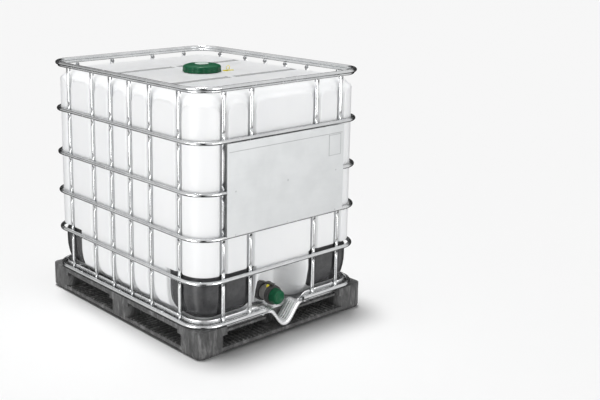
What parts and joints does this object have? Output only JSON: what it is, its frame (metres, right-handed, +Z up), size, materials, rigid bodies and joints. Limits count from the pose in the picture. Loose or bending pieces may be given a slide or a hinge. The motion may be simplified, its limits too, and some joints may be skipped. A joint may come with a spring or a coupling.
{
  "type": "intermediate bulk container",
  "caption": "Rectangular white plastic liquid container in a galvanised tube cage on a black plastic pallet, with a screw lid and a butterfly outlet valve.",
  "frame": {"origin": "on the floor under the middle of the pallet", "axes": "+Z up, -Y towards the outlet valve, +Y along the 1200 mm side, +X to the right seen from the valve"},
  "size_m": [1, 1.2, 1.16],
  "materials": {
    "cage_tube": "bright zinc, satin",
    "pan_sheet": "bright zinc sheet, satin",
    "label_plate": "satin zinc sheet",
    "fasteners": "zinc plated",
    "pallet_plastic": "recycled black, streaky",
    "guard_plastic": "glossy moulded",
    "bottle_plastic": "translucent white, satin",
    "green_plastic": "moulded, semi-gloss",
    "yellow_plastic": "moulded",
    "vent_plastic": "pale moulded",
    "valve_body_plastic": "dark grey, fine grain",
    "black_plastic": "moulded",
    "stem_steel": "turned",
    "seal_rubber": "matt"
  },
  "bodies": {
    "container": {"base_pan": "pan_sheet", "bottle": "bottle_plastic", "bottom_rail": "cage_tube", "corner_guard_back_left": "guard_plastic", "corner_guard_back_right": "guard_plastic", "corner_guard_front_left": "guard_plastic", "corner_guard_front_right": "guard_plastic", "drip_trough": "pan_sheet", "frame_bolts": "fasteners", "hoop_1": "cage_tube", "hoop_2": "cage_tube", "hoop_3": "cage_tube", "hoop_4": "cage_tube", "label_plate": "label_plate", "lever_lock_plug": "yellow_plastic", "lid_seal_tag": "yellow_plastic", "pallet_base_frame": "pallet_plastic", "pallet_block_back_left": "pallet_plastic", "pallet_block_back_right": "pallet_plastic", "pallet_block_front": "pallet_plastic", "pallet_block_front_left": "pallet_plastic", "pallet_block_front_right": "pallet_plastic", "pallet_block_middle": "pallet_plastic", "pallet_deck": "pallet_plastic", "pallet_edge_blocks": "pallet_plastic", "plate_rivets": "fasteners", "post_back_1": "cage_tube", "post_back_2": "cage_tube", "post_back_3": "cage_tube", "post_back_4": "cage_tube", "post_front_1": "cage_tube", "post_front_2": "cage_tube", "post_front_3": "cage_tube", "post_front_4": "cage_tube", "post_left_1": "cage_tube", "post_left_2": "cage_tube", "post_left_3": "cage_tube", "post_left_4": "cage_tube", "post_left_5": "cage_tube", "post_left_6": "cage_tube", "post_right_1": "cage_tube", "post_right_2": "cage_tube", "post_right_3": "cage_tube", "post_right_4": "cage_tube", "post_right_5": "cage_tube", "post_right_6": "cage_tube", "top_rim": "cage_tube", "union_nut": "black_plastic", "valve_body": "valve_body_plastic", "valve_collar": "black_plastic", "valve_gasket": "seal_rubber"},
    "lid_gasket": {"lid_gasket": "seal_rubber"},
    "lid": {"lid": "green_plastic"},
    "vent_gasket": {"vent_gasket": "seal_rubber"},
    "vent_plug": {"vent_plug": "vent_plastic"},
    "valve_lever": {"valve_disc": "valve_body_plastic", "valve_stem": "stem_steel", "valve_lever": "black_plastic"},
    "outlet_gasket": {"outlet_gasket": "seal_rubber"},
    "outlet_cap": {"outlet_cap": "green_plastic"}
  },
  "joints": [
    {"name": "lid_rise", "type": "slide", "parent": "container", "child": "lid_gasket", "axis": [0, 0, 1], "range_m": [0, 0.042]},
    {"name": "lid_turn", "type": "hinge", "parent": "lid_gasket", "child": "lid", "pos_m": [0, 0, 1.14], "axis": [0, 0, 1], "range_deg": [0, 2160]},
    {"name": "vent_rise", "type": "slide", "parent": "lid", "child": "vent_gasket", "axis": [0, 0, 1], "range_m": [0, 0.024]},
    {"name": "vent_turn", "type": "hinge", "parent": "vent_gasket", "child": "vent_plug", "pos_m": [0, 0, 1.155], "axis": [0, 0, 1], "range_deg": [0, 2160]},
    {"name": "valve_turn", "type": "hinge", "parent": "container", "child": "valve_lever", "pos_m": [0, -0.482, 0.152], "axis": [0, 0, 1], "range_deg": [0, 90]},
    {"name": "outlet_rise", "type": "slide", "parent": "container", "child": "outlet_gasket", "axis": [0, -1, 0], "range_m": [0, 0.03]},
    {"name": "outlet_turn", "type": "hinge", "parent": "outlet_gasket", "child": "outlet_cap", "pos_m": [0, -0.54, 0.152], "axis": [0, -1, 0], "range_deg": [0, 1800]}
  ],
  "couplings": [
    {"joint": "lid_turn", "follows": "lid_rise", "rad_per_m": 897.6},
    {"joint": "vent_turn", "follows": "vent_rise", "rad_per_m": 1570.8},
    {"joint": "outlet_turn", "follows": "outlet_rise", "rad_per_m": 1047.2}
  ]
}
